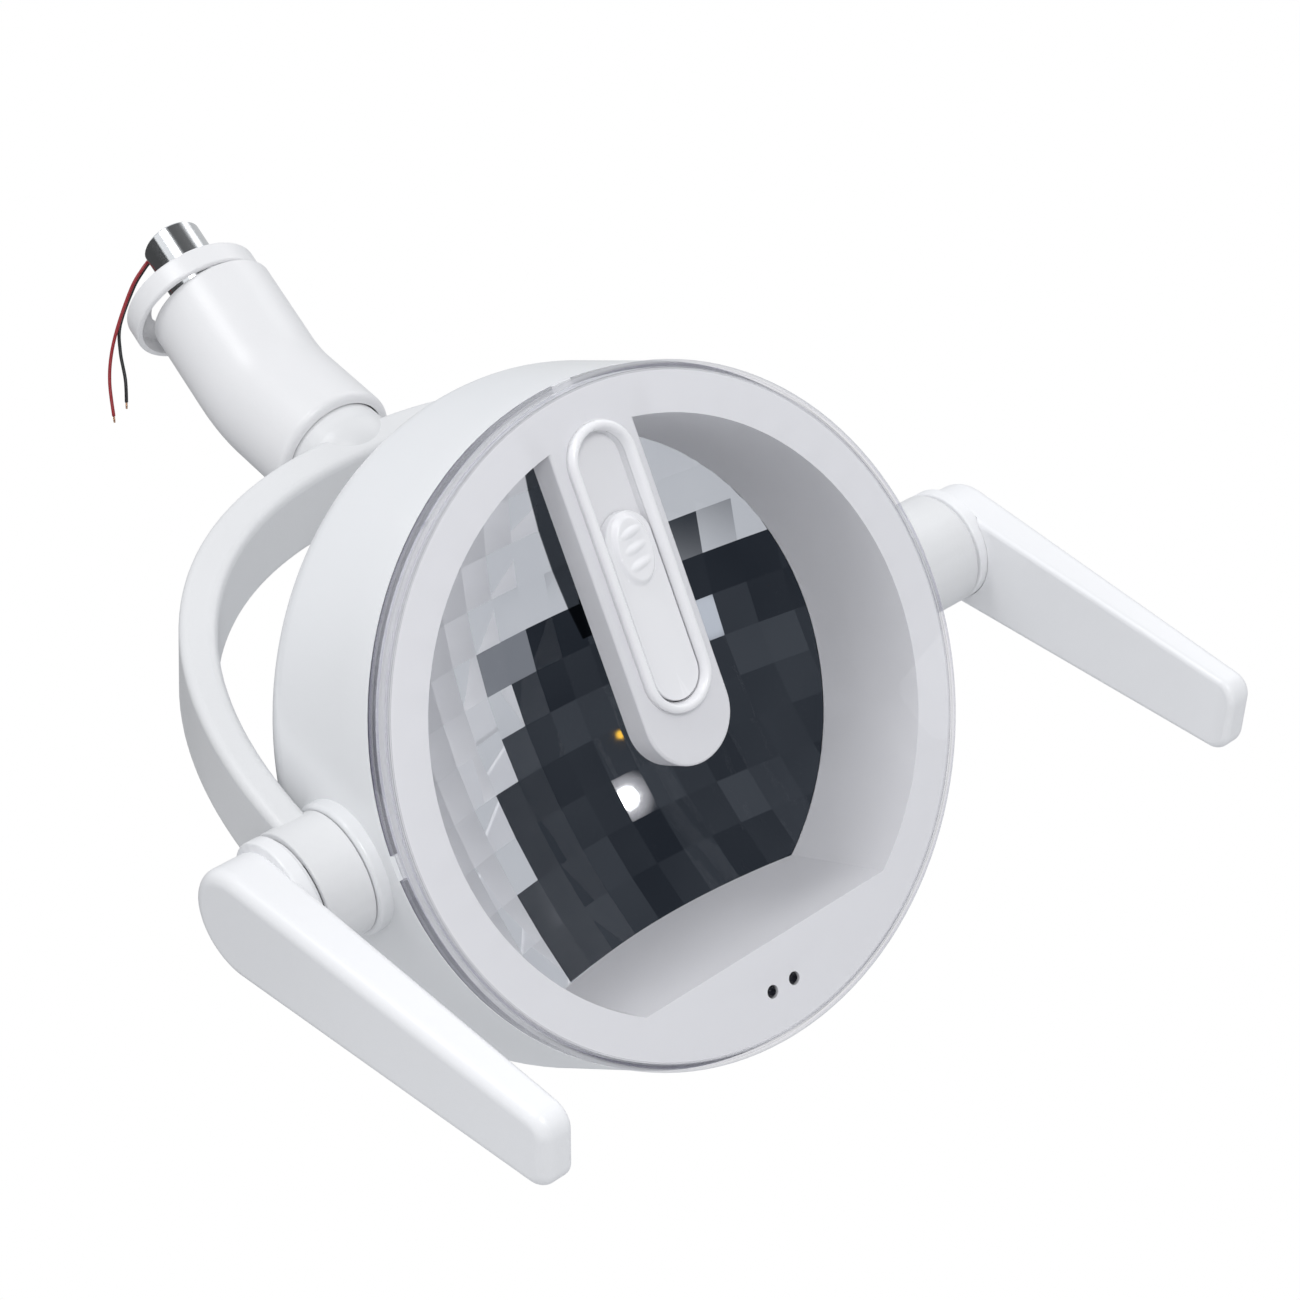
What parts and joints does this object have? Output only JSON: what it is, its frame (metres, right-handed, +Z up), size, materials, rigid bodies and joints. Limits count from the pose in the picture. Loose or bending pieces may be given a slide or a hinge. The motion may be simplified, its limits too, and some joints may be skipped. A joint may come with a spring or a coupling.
{
  "type": "dental operating light",
  "caption": "Yoke-mounted dental operating light: round faceted-reflector head with a clear front, filter slider, paddle handles, swivel neck and joint pin.",
  "frame": {"origin": "on the mounting pin's axis, level with the top face of the collar ring, where the pin leaves the light", "axes": "+Z up the mounting pin; the lamp faces -Y and down; +X is to the right of someone facing the lamp"},
  "size_m": [0.3127, 0.2088, 0.3928],
  "materials": {
    "pin_steel": "turned and polished",
    "collar_paint": "smooth semi-gloss",
    "spring_steel": "spring temper, dull",
    "acetal": "machined, waxy",
    "lead_red": "soft insulation",
    "lead_black": "soft insulation",
    "neck_plastic": "fine satin moulding",
    "cast_alloy": "as cast",
    "screw_steel": "plated",
    "cable_grey": "soft jacket",
    "yoke_paint": "white powder coat, fine satin",
    "yoke_cover_plastic": "satin moulding",
    "shaft_steel": "ground",
    "housing_plastic": "fine satin moulding",
    "rear_plastic": "fine satin moulding",
    "fascia_plastic": "satin moulding",
    "clear_plastic": "clear, polished edges",
    "slide_frame_plastic": "satin moulding",
    "slider_plastic": "satin moulding",
    "carrier_plastic": "satin moulding",
    "amber_glass": "coloured, polished",
    "heatsink_alloy": "anodised",
    "board_white": "solder mask",
    "phosphor": "phosphor gel",
    "reflector_mirror": "vapour-coated, faceted",
    "sensor_black": "infrared window",
    "board_green": "solder mask",
    "friction_fibre": "friction lining",
    "hub_plastic": "satin moulding",
    "handle_plastic": "satin moulding, removable"
  },
  "bodies": {
    "mount": {"mount_pin": "pin_steel", "pin_circlip": "spring_steel", "pin_thrust_washer": "acetal", "supply_lead_red": "lead_red", "supply_lead_black": "lead_black"},
    "collar": {"collar_ring": "collar_paint"},
    "neck": {"neck_shell": "neck_plastic", "neck_core": "cast_alloy", "pin_bushes": "acetal", "swivel_lock_screw": "screw_steel", "hub_bush": "acetal", "neck_cable": "cable_grey"},
    "yoke": {"yoke_frame": "yoke_paint", "yoke_back_cover": "yoke_cover_plastic", "hub_shaft": "shaft_steel", "hub_spring_washer": "spring_steel", "hub_circlip": "spring_steel", "trunnion_bushes": "acetal", "yoke_cable": "cable_grey"},
    "head": {"housing_shell": "housing_plastic", "rear_cover": "rear_plastic", "rear_cover_screws": "screw_steel", "front_fascia": "fascia_plastic", "fascia_screws": "screw_steel", "clear_cover": "clear_plastic", "slide_frame": "slide_frame_plastic", "detent_spring": "spring_steel", "led_heatsink": "heatsink_alloy", "led_board": "board_white", "led_chip": "phosphor", "reflector": "reflector_mirror", "reflector_clips": "spring_steel", "sensor_emitter": "sensor_black", "sensor_receiver": "sensor_black", "sensor_board": "board_green", "driver_board": "board_green", "head_cable": "cable_grey", "led_cable": "cable_grey", "trunnion_shaft_left": "shaft_steel", "trunnion_shaft_right": "shaft_steel", "trunnion_screws": "screw_steel", "friction_washers": "friction_fibre", "trunnion_nuts": "screw_steel", "handle_hub_left": "hub_plastic", "handle_hub_right": "hub_plastic", "tilt_stop_pin": "shaft_steel", "handle_left": "handle_plastic", "handle_right": "handle_plastic"},
    "slider": {"slider_plate": "slider_plastic", "filter_carrier": "carrier_plastic", "amber_filter": "amber_glass"}
  },
  "joints": [
    {"name": "collar_slide", "type": "slide", "parent": "mount", "child": "collar", "axis": [0, 0, 1], "range_m": [0, 0.006]},
    {"name": "pin_swivel", "type": "hinge", "parent": "mount", "child": "neck", "pos_m": [0, 0, 0], "axis": [0, 0, 1], "range_deg": [-160, 160], "deforming": ["supply_lead_red", "supply_lead_black"]},
    {"name": "yoke_swivel", "type": "hinge", "parent": "neck", "child": "yoke", "pos_m": [0, 0, -0.051], "axis": [0, 0.2924, 0.9563], "range_deg": [-105.2, 134.8]},
    {"name": "head_tilt", "type": "hinge", "parent": "yoke", "child": "head", "pos_m": [0, -0.05722, -0.23815], "axis": [0.9668, -0.2443, 0.0747], "range_deg": [-50, 75]},
    {"name": "filter_slide", "type": "slide", "parent": "head", "child": "slider", "axis": [-0.1985, -0.5345, 0.8215], "range_m": [0, 0.022]}
  ]
}
